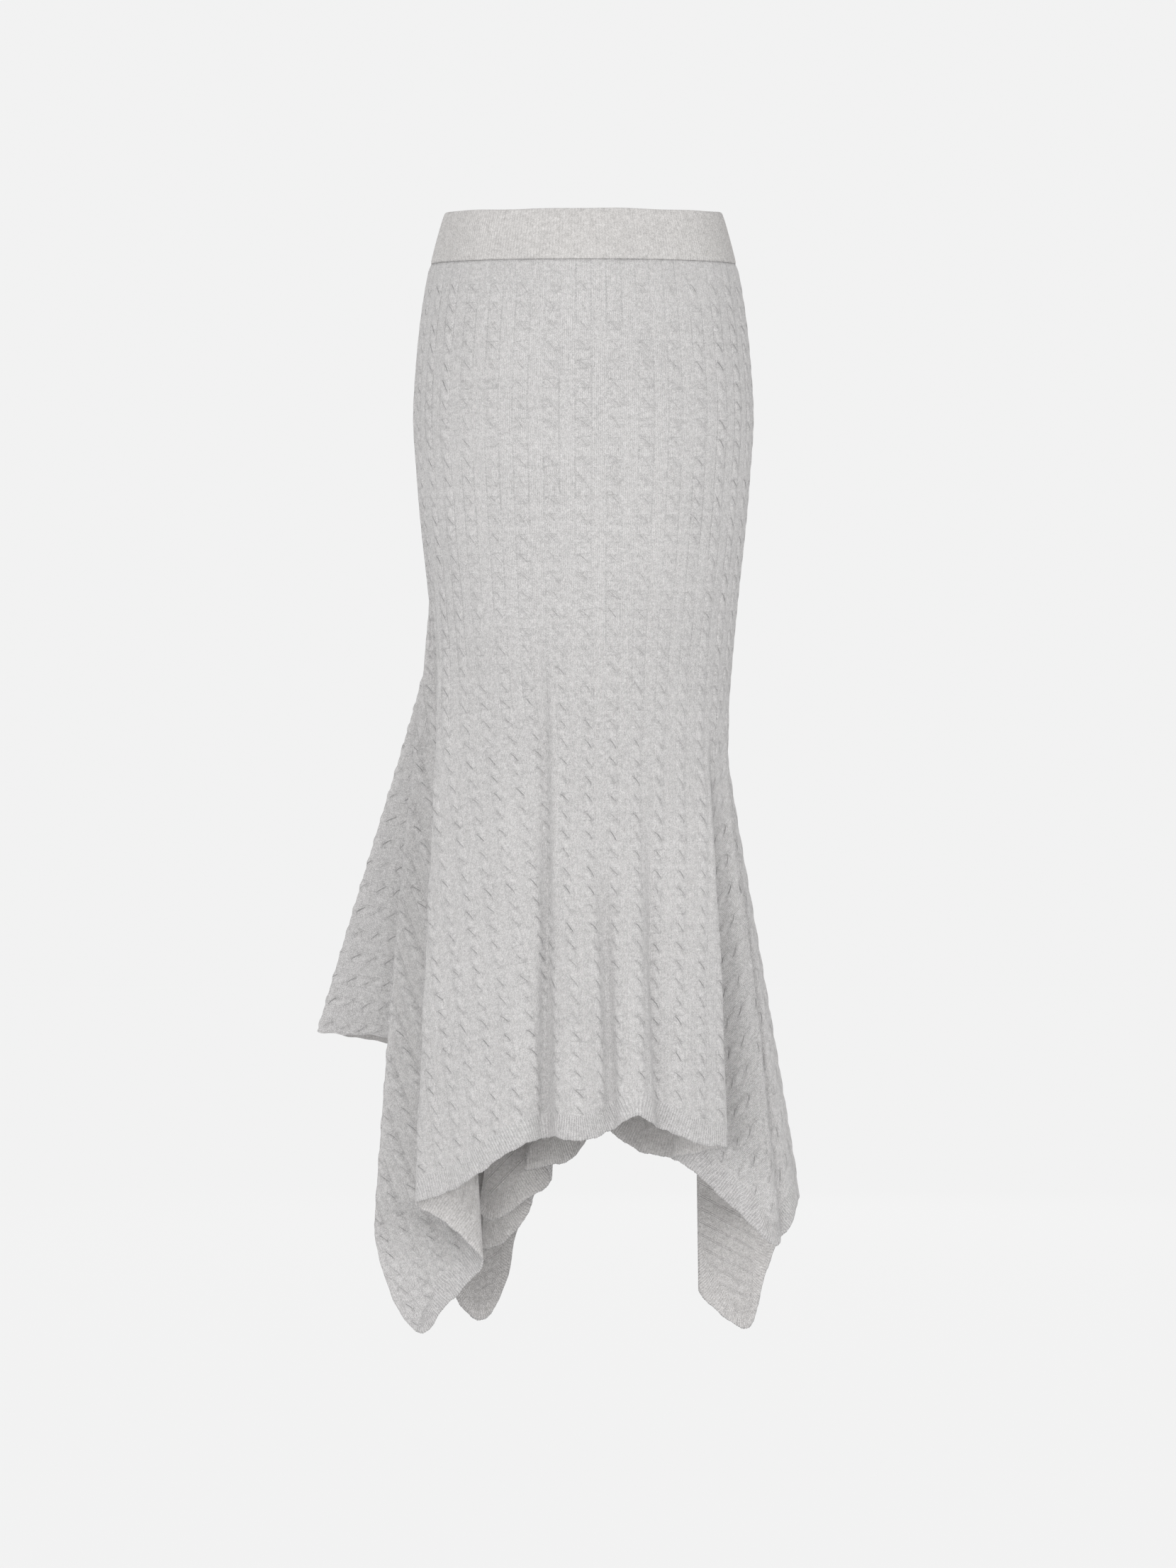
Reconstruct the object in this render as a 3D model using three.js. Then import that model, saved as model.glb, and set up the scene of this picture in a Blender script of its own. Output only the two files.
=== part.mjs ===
// A cable-knit midi skirt as it hangs on a wearer: a ribbed waistband, a front panel and a back panel.
// Both panels fit closely to the knee, flare below it in deep folds, and end in a pointed handkerchief hem.
// Millimetres. The waist's top edge is z = 0, its centre is the origin, and the front faces -Y.
import * as THREE from "three";

const BAND_HEIGHT = 50;
const WAIST_DIP = 7;
const BAND_WALL = 2.6;
const BAND_RIBS = 100;
const BAND_RIB_RELIEF = 0.5;
const BAND_ROWS = 3;
const CLOTH_WALL = 2.0;
const SEAM_GAP = 0.3;
const COLUMN_WIDTH = 13.6;
const CABLE_RELIEF = 1.0;
const PLAIN_RELIEF = 0.6;
const BODY_COLUMNS = 33;
const ROW_HEIGHT = 62;
const FLARE_TOP = -340;
const FLARE_ROWS = 9;
const ONSET = 0.05;
const DEPTH_EASE = 0.8;
const SHARP_TURN = 0.3;

// The close-fitting tube: half its width, and how deep it is before and behind the middle, at each height.
const TUBE = [
  { z: 0, half: 132, front: 95, back: 95 },
  { z: -50, half: 145, front: 103, back: 106 },
  { z: -100, half: 153.5, front: 108, back: 118 },
  { z: -150, half: 158.5, front: 110, back: 127 },
  { z: -200, half: 161, front: 110, back: 130 },
  { z: -250, half: 158, front: 109, back: 126 },
  { z: -300, half: 154, front: 107, back: 118 },
  { z: -370, half: 146.5, front: 104, back: 110 },
  { z: -450, half: 139.5, front: 100, back: 104 },
  { z: -540, half: 136, front: 98, back: 101 },
  { z: -700, half: 135, front: 98, back: 100 },
  { z: -1100, half: 135, front: 98, back: 100 },
];

// The lines of cloth that shape the flare, in order round the skirt from the right seam past the front.
// turn: degrees round the tube where a line starts. x, y, z: where it meets the hem.
// from: the height where it starts to leave the tube. ease: under 1 leaves it quickly, over 1 slowly.
const LINES = [
  { name: "right_seam", turn: -4, x: 205, y: 5, z: -950, from: -520, ease: 0.9 },
  { name: "right_side", turn: 3, x: 197, y: -20, z: -975, from: -520, ease: 0.9 },
  { name: "right_corner", turn: 10, x: 182, y: -35, z: -989, from: -520, ease: 0.9 },
  { name: "right_wing", turn: 16, x: 148, y: -38, z: -959, from: -520, ease: 1 },
  { name: "right_wing_inner", turn: 21, x: 107, y: -42, z: -921, from: -520, ease: 1 },
  { name: "right_pleat", turn: 24, x: 87, y: -52, z: -906, from: -530, ease: 1 },
  { name: "right_pleat_front", turn: 27, x: 105, y: -76, z: -900, from: -530, ease: 0.9 },
  { name: "front_right_edge", turn: 31, x: 133, y: -97, z: -893, from: -530, ease: 0.7 },
  { name: "front_ridge_1", turn: 47, x: 103, y: -126, z: -887, from: -540, ease: 1 },
  { name: "front_trough_1", turn: 60, x: 76, y: -129, z: -874, from: -540, ease: 1.2 },
  { name: "front_ridge_2", turn: 71, x: 50, y: -145, z: -862, from: -540, ease: 1.2 },
  { name: "front_trough_2", turn: 82, x: 22, y: -141, z: -876, from: -540, ease: 1.2 },
  { name: "front_ridge_3", turn: 92, x: -5, y: -154, z: -884, from: -540, ease: 1.2 },
  { name: "front_trough_3", turn: 103, x: -36, y: -139, z: -881, from: -500, ease: 1.1 },
  { name: "front_ridge_4", turn: 114, x: -62, y: -148, z: -891, from: -500, ease: 1.1 },
  { name: "front_left_1", turn: 129, x: -95, y: -134, z: -913, from: -480, ease: 1 },
  { name: "front_left_2", turn: 147, x: -127, y: -113, z: -935, from: -430, ease: 0.9 },
  { name: "front_left_edge", turn: 162, x: -156, y: -88, z: -947, from: -380, ease: 0.8 },
  { name: "left_pleat_front", turn: 169, x: -128, y: -68, z: -970, from: -400, ease: 0.8 },
  { name: "left_pleat", turn: 175, x: -96, y: -48, z: -1006, from: -420, ease: 0.9 },
  { name: "left_corner_inner", turn: 178, x: -113, y: -30, z: -1029, from: -420, ease: 0.9 },
  { name: "left_corner_mid", turn: 181, x: -135, y: -20, z: -1053, from: -410, ease: 0.8 },
  { name: "left_corner", turn: 184, x: -152, y: -14, z: -1076, from: -380, ease: 0.75 },
  { name: "left_corner_outer", turn: 187, x: -176, y: -7, z: -1056, from: -370, ease: 0.68 },
  { name: "left_seam", turn: 190, x: -197, y: 6, z: -978, from: -365, ease: 0.6 },
  { name: "left_seam_back", turn: 193, x: -172, y: 25, z: -900, from: -355, ease: 0.75 },
  { name: "left_back_pleat", turn: 196, x: -140, y: 36, z: -830, from: -360, ease: 0.9 },
  { name: "left_wing_inner", turn: 200, x: -180, y: 50, z: -798, from: -345, ease: 1 },
  { name: "left_wing", turn: 204, x: -222, y: 62, z: -794, from: -340, ease: 0.95 },
  { name: "left_wing_edge", turn: 208, x: -257, y: 74, z: -791, from: -340, ease: 0.92 },
  { name: "left_wing_back", turn: 212, x: -225, y: 91, z: -797, from: -345, ease: 0.95 },
  { name: "back_left_1", turn: 216, x: -186, y: 101, z: -806, from: -390, ease: 0.9 },
  { name: "back_left_2", turn: 220, x: -168, y: 107, z: -850, from: -400, ease: 1 },
  { name: "back_corner_fall", turn: 223, x: -151, y: 112, z: -935, from: -400, ease: 1 },
  { name: "back_corner_low", turn: 226, x: -136, y: 116, z: -1015, from: -400, ease: 1 },
  { name: "back_corner_end", turn: 228, x: -119, y: 121, z: -1062, from: -400, ease: 1 },
  { name: "back_corner_left", turn: 230, x: -97, y: 127, z: -1075, from: -400, ease: 1 },
  { name: "back_corner_rise", turn: 233, x: -76, y: 133, z: -1038, from: -400, ease: 1 },
  { name: "back_corner_top", turn: 236, x: -67, y: 137, z: -994, from: -400, ease: 1 },
  { name: "back_fold_1", turn: 239, x: -50, y: 136, z: -952, from: -400, ease: 1 },
  { name: "back_fold_1_return", turn: 242, x: -70, y: 118, z: -942, from: -410, ease: 1 },
  { name: "lobe_left", turn: 245, x: -99, y: 103, z: -1004, from: -420, ease: 1 },
  { name: "lobe_mid", turn: 247, x: -84, y: 97, z: -1000, from: -420, ease: 1 },
  { name: "lobe_low", turn: 249, x: -66, y: 98, z: -985, from: -420, ease: 1 },
  { name: "lobe_right", turn: 252, x: -51, y: 100, z: -960, from: -420, ease: 1 },
  { name: "lobe_return", turn: 255, x: -68, y: 85, z: -944, from: -430, ease: 1 },
  { name: "inner_left", turn: 258, x: -101, y: 67, z: -965, from: -440, ease: 1 },
  { name: "inner_mid", turn: 261, x: -88, y: 62, z: -973, from: -440, ease: 1 },
  { name: "inner_low", turn: 263, x: -60, y: 62, z: -956, from: -440, ease: 1 },
  { name: "inner_right", turn: 266, x: -32, y: 65, z: -936, from: -440, ease: 1 },
  { name: "inner_return", turn: 268, x: -42, y: 51, z: -915, from: -450, ease: 1 },
  { name: "flap_left", turn: 271, x: -57, y: 41, z: -923, from: -450, ease: 1 },
  { name: "flap_mid", turn: 274, x: -36, y: 44, z: -920, from: -450, ease: 1 },
  { name: "flap_low", turn: 277, x: -12, y: 57, z: -913, from: -450, ease: 1 },
  { name: "flap_right", turn: 280, x: 0, y: 74, z: -900, from: -450, ease: 1 },
  { name: "back_middle_left", turn: 284, x: 9, y: 98, z: -886, from: -440, ease: 1 },
  { name: "back_middle", turn: 289, x: 20, y: 118, z: -882, from: -440, ease: 1 },
  { name: "back_right_1", turn: 295, x: 34, y: 124, z: -897, from: -440, ease: 1 },
  { name: "back_right_2", turn: 301, x: 56, y: 123, z: -910, from: -440, ease: 1 },
  { name: "back_right_3", turn: 307, x: 92, y: 120, z: -917, from: -440, ease: 1 },
  { name: "right_point_behind", turn: 312, x: 122, y: 139, z: -938, from: -440, ease: 1 },
  { name: "right_point_return", turn: 315, x: 137, y: 138, z: -975, from: -440, ease: 1 },
  { name: "right_point_inner", turn: 318, x: 124, y: 123, z: -1022, from: -440, ease: 1 },
  { name: "right_point_left", turn: 321, x: 113, y: 114, z: -1046, from: -440, ease: 1 },
  { name: "right_point_low", turn: 326, x: 134, y: 118, z: -1068, from: -440, ease: 1 },
  { name: "right_point", turn: 331, x: 160, y: 121, z: -1083, from: -440, ease: 1 },
  { name: "right_point_edge", turn: 334, x: 168, y: 119, z: -1071, from: -440, ease: 1 },
  { name: "right_back_1", turn: 338, x: 176, y: 113, z: -1034, from: -450, ease: 1 },
  { name: "right_back_2", turn: 342, x: 188, y: 102, z: -1000, from: -460, ease: 1 },
  { name: "right_back_3", turn: 347, x: 201, y: 78, z: -964, from: -480, ease: 1 },
  { name: "right_back_4", turn: 352, x: 207, y: 42, z: -950, from: -500, ease: 0.95 },
];

const LINE_COUNT = LINES.length;
const FULL_TURN = 360;
const wrap = (index) => LINES[((index % LINE_COUNT) + LINE_COUNT) % LINE_COUNT];
const turnOf = (index) => wrap(index).turn + FULL_TURN * Math.floor(index / LINE_COUNT);
const indexOf = (name) => LINES.findIndex((line) => line.name === name);

// A smooth curve through one column of the tube's table.
function tubeSize(key, z) {
  let i = 0;
  while (i < TUBE.length - 2 && z < TUBE[i + 1].z) i += 1;
  const slope = (j) => {
    const a = TUBE[Math.max(j - 1, 0)];
    const b = TUBE[Math.min(j + 1, TUBE.length - 1)];
    return (b[key] - a[key]) / (b.z - a.z);
  };
  const span = TUBE[i + 1].z - TUBE[i].z;
  const t = Math.min((z - TUBE[i].z) / span, 1);
  const s = 1 - t;
  return (
    s * s * (1 + 2 * t) * TUBE[i][key] +
    t * t * (3 - 2 * t) * TUBE[i + 1][key] +
    s * s * t * span * slope(i) -
    t * t * s * span * slope(i + 1)
  );
}

// The waist is lower in front: how far a point's height drops, fading out at the flare's top.
function dip(turn, z) {
  const front = (1 + Math.sin(THREE.MathUtils.degToRad(turn))) / 2;
  return WAIST_DIP * front * Math.max(0, 1 - z / FLARE_TOP);
}

function tubePoint(turn, z) {
  const angle = THREE.MathUtils.degToRad(turn);
  const depth = tubeSize(Math.sin(angle) > 0 ? "front" : "back", z);
  const height = z - dip(turn, z);
  return new THREE.Vector3(tubeSize("half", z) * Math.cos(angle), -depth * Math.sin(angle), height);
}

// How far a line has left the tube: 0 above its start and 1 at the hem, with a soft start.
function leaving(line, z) {
  const t = THREE.MathUtils.clamp((line.from - z) / (line.from - line.z), 0, 1);
  return (Math.hypot(t, ONSET) - ONSET) / (Math.hypot(1, ONSET) - ONSET);
}

// Knots and weights of a centripetal spline round the closed hem.
const knots = [0];
for (let i = 0; i < LINE_COUNT; i += 1) {
  const a = wrap(i);
  const b = wrap(i + 1);
  knots.push(knots[i] + Math.sqrt(Math.hypot(b.x - a.x, b.y - a.y, b.z - a.z)));
}
const knotOf = (i) => knots[((i % LINE_COUNT) + LINE_COUNT) % LINE_COUNT] +
  knots[LINE_COUNT] * Math.floor(i / LINE_COUNT);

function splineWeights(i, t) {
  const k = [-1, 0, 1, 2].map((step) => knotOf(i + step));
  const s = k[1] + t * (k[2] - k[1]);
  const mix = (a, b, from, to) => a.map((v, n) => (v * (to - s) + b[n] * (s - from)) / (to - from));
  const unit = [0, 1, 2, 3].map((n) => [0, 1, 2, 3].map((m) => (m === n ? 1 : 0)));
  const first = [0, 1, 2].map((n) => mix(unit[n], unit[n + 1], k[n], k[n + 1]));
  const second = [0, 1].map((n) => mix(first[n], first[n + 1], k[n], k[n + 2]));
  return mix(second[0], second[1], k[1], k[2]);
}

// The middle of the flared cloth: u counts lines round the skirt, and v runs from 0 at the flare's top
// to 1 at the hem.
function flarePoint(u, v) {
  const i = Math.floor(u);
  const weights = splineWeights(i, u - i);
  let turn = 0;
  let z = 0;
  const shift = new THREE.Vector2();
  weights.forEach((weight, n) => {
    const line = wrap(i - 1 + n);
    const lineZ = THREE.MathUtils.lerp(FLARE_TOP, line.z, v);
    const start = tubePoint(line.turn, lineZ);
    const left = leaving(line, lineZ);
    turn += weight * turnOf(i - 1 + n);
    z += weight * lineZ;
    shift.x += weight * left ** line.ease * (line.x - start.x);
    shift.y += weight * left ** (line.ease * DEPTH_EASE) * (line.y - start.y);
  });
  const point = tubePoint(turn, z);
  point.x += shift.x;
  point.y += shift.y;
  return { point, turn };
}

// A point on a surface with its outward normal and the direction round the skirt, from small steps.
function framed(surface, a, b, stepA, stepB) {
  const along = surface(a + stepA, b).sub(surface(a - stepA, b)).normalize();
  const down = surface(a, b + stepB).sub(surface(a, b - stepB));
  const normal = new THREE.Vector3().crossVectors(along, down).normalize();
  return { point: surface(a, b), along, normal };
}

const bodyFrame = (turn, z) => framed(tubePoint, turn, z, 0.05, -0.5);
const flareFrame = (u, v) => framed((a, b) => flarePoint(a, b).point, u, v, 0.01, 0.002);

// A sample of cloth: a key that matches it to other rows, its outer point and its inner point.
function clothPoint(frame, key, relief, wall) {
  const outer = frame.point.clone().addScaledVector(frame.normal, wall / 2 + relief);
  const inner = frame.point.clone().addScaledVector(frame.normal, -wall / 2);
  return { key, outer, inner, along: frame.along };
}

const columnRelief = (column) => (column % 2 === 0 ? CABLE_RELIEF : PLAIN_RELIEF);

function bodyRow(turnStart, turnEnd, z) {
  const row = [];
  for (let i = 0; i <= 2 * BODY_COLUMNS; i += 1) {
    const turn = THREE.MathUtils.lerp(turnStart, turnEnd, i / (2 * BODY_COLUMNS));
    const relief = i % 2 ? columnRelief((i - 1) / 2) : 0;
    const sample = clothPoint(bodyFrame(turn, z), turn, relief, CLOTH_WALL);
    row.push({ ...sample, within: i % 2 === 0 });
  }
  return row;
}

// Where the knitted columns of a panel lie between its lines: a groove, then a ridge, for each column.
// The raised columns are by turns a cable and a plain one.
function flareSamples(first, last) {
  const samples = [];
  for (let i = first; i < last; i += 1) {
    const a = wrap(i);
    const b = wrap(i + 1);
    const columns = Math.max(1, Math.round(Math.hypot(b.x - a.x, b.y - a.y, b.z - a.z) / COLUMN_WIDTH));
    for (let c = 0; c < columns; c += 1) {
      samples.push({ u: i + c / columns, ridge: 0 });
      samples.push({ u: i + (c + 0.5) / columns, ridge: columnRelief(samples.length >> 1) });
    }
  }
  samples.push({ u: last, ridge: 0 });
  return samples;
}

function flareRow(samples, v) {
  const frames = samples.map(({ u }) => flareFrame(u, v));
  return samples.map(({ u, ridge, within }, i) => {
    let relief = 0;
    if (ridge) {
      const width = frames[i + 1].point.distanceTo(frames[i - 1].point);
      relief = ridge * Math.min(1, width / COLUMN_WIDTH);
    }
    const sample = clothPoint(frames[i], flarePoint(u, v).turn, relief, CLOTH_WALL);
    return { ...sample, within };
  });
}

// The plain inside leaves out a ridge's sample, unless the cloth turns sharply there.
function markInside(samples) {
  const hem = samples.map(({ u }) => flareFrame(u, 1).along);
  samples.forEach((sample, i) => {
    const turnsHere = sample.ridge && hem[i - 1].angleTo(hem[i + 1]) > SHARP_TURN;
    sample.within = !sample.ridge || turnsHere;
  });
}

// Collects triangles, and joins two rows of points whose keys rise together.
class Skin {
  constructor() {
    this.positions = [];
  }

  face(a, b, c) {
    for (const p of [a, b, c]) this.positions.push(p.x, p.y, p.z);
  }

  join(top, bottom, flipped = false) {
    let i = 0;
    let j = 0;
    while (i < top.length - 1 || j < bottom.length - 1) {
      const nextTop = i < top.length - 1 ? top[i + 1].key : Infinity;
      const nextBottom = j < bottom.length - 1 ? bottom[j + 1].key : Infinity;
      const useTop = nextTop <= nextBottom;
      const third = useTop ? top[i + 1].point : bottom[j + 1].point;
      const corners = [top[i].point, third, bottom[j].point];
      if (flipped) corners.reverse();
      this.face(...corners);
      if (useTop) i += 1;
      else j += 1;
    }
  }

  geometry() {
    const geometry = new THREE.BufferGeometry();
    geometry.setAttribute("position", new THREE.Float32BufferAttribute(this.positions, 3));
    geometry.computeVertexNormals();
    return geometry;
  }
}

// The outer and inner points of a row, and the samples down one side edge of a panel.
const outerSide = (row) => row.map(({ key, outer }) => ({ key, point: outer }));
const innerSide = (row) =>
  row.filter(({ within }) => within).map(({ key, inner }) => ({ key, point: inner }));
const edge = (rows, pick, side) => rows.map((row, key) => ({ key, point: row.at(pick)[side] }));

// A closed wall from rows of samples. A ring has no side edges, because its last sample is its first.
function wallGeometry(rows, isRing) {
  const skin = new Skin();
  for (let i = 0; i < rows.length - 1; i += 1) {
    skin.join(outerSide(rows[i]), outerSide(rows[i + 1]));
    skin.join(innerSide(rows[i]), innerSide(rows[i + 1]), true);
  }
  skin.join(innerSide(rows[0]), outerSide(rows[0]));
  skin.join(outerSide(rows.at(-1)), innerSide(rows.at(-1)));
  if (!isRing) {
    skin.join(edge(rows, 0, "inner"), edge(rows, 0, "outer"), true);
    skin.join(edge(rows, -1, "inner"), edge(rows, -1, "outer"));
  }
  return skin.geometry();
}

// Draws a panel's two side edges back from the seams by half the gap.
function trimSides(rows) {
  for (const row of rows) {
    for (const [sample, direction] of [[row[0], 1], [row.at(-1), -1]]) {
      sample.outer.addScaledVector(sample.along, (direction * SEAM_GAP) / 2);
      sample.inner.addScaledVector(sample.along, (direction * SEAM_GAP) / 2);
    }
  }
}

function panelGeometry(first, last) {
  const turnStart = turnOf(first);
  const turnEnd = turnOf(last);
  const top = -BAND_HEIGHT - SEAM_GAP / 2;
  const bodyRows = Math.round((top - FLARE_TOP) / ROW_HEIGHT);
  const samples = flareSamples(first, last);
  markInside(samples);
  const rows = [];
  for (let i = 0; i < bodyRows; i += 1) {
    rows.push(bodyRow(turnStart, turnEnd, THREE.MathUtils.lerp(top, FLARE_TOP, i / bodyRows)));
  }
  for (let i = 0; i <= FLARE_ROWS; i += 1) {
    rows.push(flareRow(samples, i / FLARE_ROWS));
  }
  trimSides(rows);
  return wallGeometry(rows, false);
}

function bandGeometry() {
  const bottom = -BAND_HEIGHT + SEAM_GAP / 2;
  const rows = [];
  for (let i = 0; i < BAND_ROWS; i += 1) {
    const z = (bottom * i) / (BAND_ROWS - 1);
    const row = [];
    for (let n = 0; n <= 2 * BAND_RIBS; n += 1) {
      const turn = (FULL_TURN * (n % (2 * BAND_RIBS))) / (2 * BAND_RIBS);
      const relief = n % 2 ? BAND_RIB_RELIEF : 0;
      row.push({ ...clothPoint(bodyFrame(turn, z), n, relief, BAND_WALL), within: n % 4 === 0 });
    }
    rows.push(row);
  }
  return wallGeometry(rows, true);
}

const CABLE_GREY = 0xc4c4c5;
const RIB_GREY = 0xcac8c6;

function piece(name, geometry, slot, color) {
  const wool = new THREE.MeshStandardMaterial({ name: slot, color, roughness: 0.95, metalness: 0 });
  const mesh = new THREE.Mesh(geometry, wool);
  mesh.name = name;
  return mesh;
}

const rightSeam = indexOf("right_seam");
const leftSeam = indexOf("left_seam");
const skirt = new THREE.Group();
skirt.name = "midi_skirt";
skirt.add(piece("waistband", bandGeometry(), "rib_knit", RIB_GREY));
skirt.add(piece("front_panel", panelGeometry(rightSeam, leftSeam), "front_cable_knit", CABLE_GREY));
const nextRightSeam = rightSeam + LINE_COUNT;
skirt.add(piece("back_panel", panelGeometry(leftSeam, nextRightSeam), "back_cable_knit", CABLE_GREY));

export default skirt;
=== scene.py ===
import math

import bpy
import numpy as np
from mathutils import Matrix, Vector


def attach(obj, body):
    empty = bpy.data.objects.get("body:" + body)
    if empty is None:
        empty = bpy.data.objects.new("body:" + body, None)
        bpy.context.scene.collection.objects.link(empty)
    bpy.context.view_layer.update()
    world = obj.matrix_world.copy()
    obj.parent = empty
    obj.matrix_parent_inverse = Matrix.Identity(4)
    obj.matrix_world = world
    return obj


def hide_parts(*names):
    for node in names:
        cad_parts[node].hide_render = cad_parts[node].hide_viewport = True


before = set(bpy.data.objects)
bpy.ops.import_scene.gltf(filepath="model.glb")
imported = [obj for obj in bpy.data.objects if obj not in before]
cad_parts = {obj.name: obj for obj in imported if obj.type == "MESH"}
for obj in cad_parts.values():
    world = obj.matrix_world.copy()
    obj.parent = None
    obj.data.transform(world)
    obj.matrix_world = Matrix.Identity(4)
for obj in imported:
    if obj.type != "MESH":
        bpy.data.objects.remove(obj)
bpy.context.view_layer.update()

MM = 0.001

# The skirt's sizes in millimetres, the same as the solids'.
# The waist's top edge is at z = 0 and the front faces -Y.
BAND_HEIGHT = 50.0
BAND_WALL = 2.6
WAIST_DIP = 7.0
CLOTH_WALL = 2.0
SEAM_GAP = 0.3
FLARE_TOP = -340.0

# How softly a line of cloth leaves the tube, and its ease in depth as a share of its ease sideways.
ONSET = 0.05
DEPTH_EASE = 0.8

# The knit. A column is one cell of the pattern, by turns a cable and a plain one, between two sunk grooves.
COLUMNS_ROUND = 66
COLUMN_WIDTH = 11.4
CABLE_PITCH = 17.5
UPPER_PITCH = 18.6
FIRST_CROSSING = -71.0
CABLE_RISE = 1.3
PLAIN_RISE = 0.6
STRAND_RISE = 0.6
HEM_BAND = 22.0
HEM_RIB_PITCH = 2.7
HEM_RISE = 0.35
BAND_RIBS = 300
BAND_RIB_RISE = 0.35
ROPE_SLANT = 1.1

# The knit hangs looser from the first to the second of these distances, sideways and down from the waist.
LOOSE_SIDE = (90.0, 150.0)
LOOSE_LOW = (300.0, 620.0)

# The mesh. The flare has a cell width for each panel, and its cells are a little taller than wide.
FRONT_CELL = 2.85
BACK_CELL = 4.05
CELL_STRETCH = 1.1
FLARE_LENGTH = 620
UPPER_CELL_WIDTH = 3.1
UPPER_CELL_HEIGHT = 3.4
UPPER_SIDE_STEP = 3.0
RIM_STEPS = 4

# A degree of the tube in millimetres: as a mean width for the mesh's columns, and in the creases' table.
DEGREE_WIDTH = 2.4
CREASE_DEGREE = 2.3

# Relief fades out over this width at seams, and the panels' top edge is drawn in at the waistband.
EDGE_FADE = 6.0
SEAM_SINK = 0.2
SEAM_SINK_HEIGHT = 3.5

# The hem's edge: waves of a height, a length and a start, and small teeth where it has ribs. The waves start
# at a share of the flare's length and fade out beside the seams. The ribs' slant is taken a short way up.
HEM_WAVES = [(0.5, 3.1, 0), (0.5, 5.3, 1), (0.7, 11.7, 2)]
HEM_WAVES_FROM = 0.955
HEM_WAVES_FADE = 12
HEM_BLEND = (HEM_BAND - 4, HEM_BAND + 3)
SLANT_HEIGHT = 15
RIM_OUT = 0.7
RIM_TOOTH = 0.6
RIM_LIFT = 0.1

# The waistband's top edge: waves of a height, a number round and a start in degrees, that die out downwards,
# a lean inwards over a depth, and a rounding. Its bottom edge is drawn in.
BAND_WAVES = [(0.35, 5, 40), (0.25, 11, 0)]
BAND_WAVES_DEPTH = 12
BAND_LEAN = 1.0
BAND_LEAN_DEPTH = 5
BAND_ROUNDING = 1.6
BAND_SINK = 0.3
BAND_SINK_HEIGHT = 3.0
BAND_STITCH = 2.2

# A distance that stands for far away, and what is added to the distance from the hem where it has no ribs.
FAR = 999.0
NO_RIBS = 60.0

# The close-fitting tube: half its width, and its depth before and behind the middle, at each height.
TUBE = np.array([
    (0, 132, 95, 95),
    (-50, 145, 103, 106),
    (-100, 153.5, 108, 118),
    (-150, 158.5, 110, 127),
    (-200, 161, 110, 130),
    (-250, 158, 109, 126),
    (-300, 154, 107, 118),
    (-370, 146.5, 104, 110),
    (-450, 139.5, 100, 104),
    (-540, 136, 98, 101),
    (-700, 135, 98, 100),
    (-1100, 135, 98, 100),
], dtype=[("z", float), ("half", float), ("front", float), ("back", float)])

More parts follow.
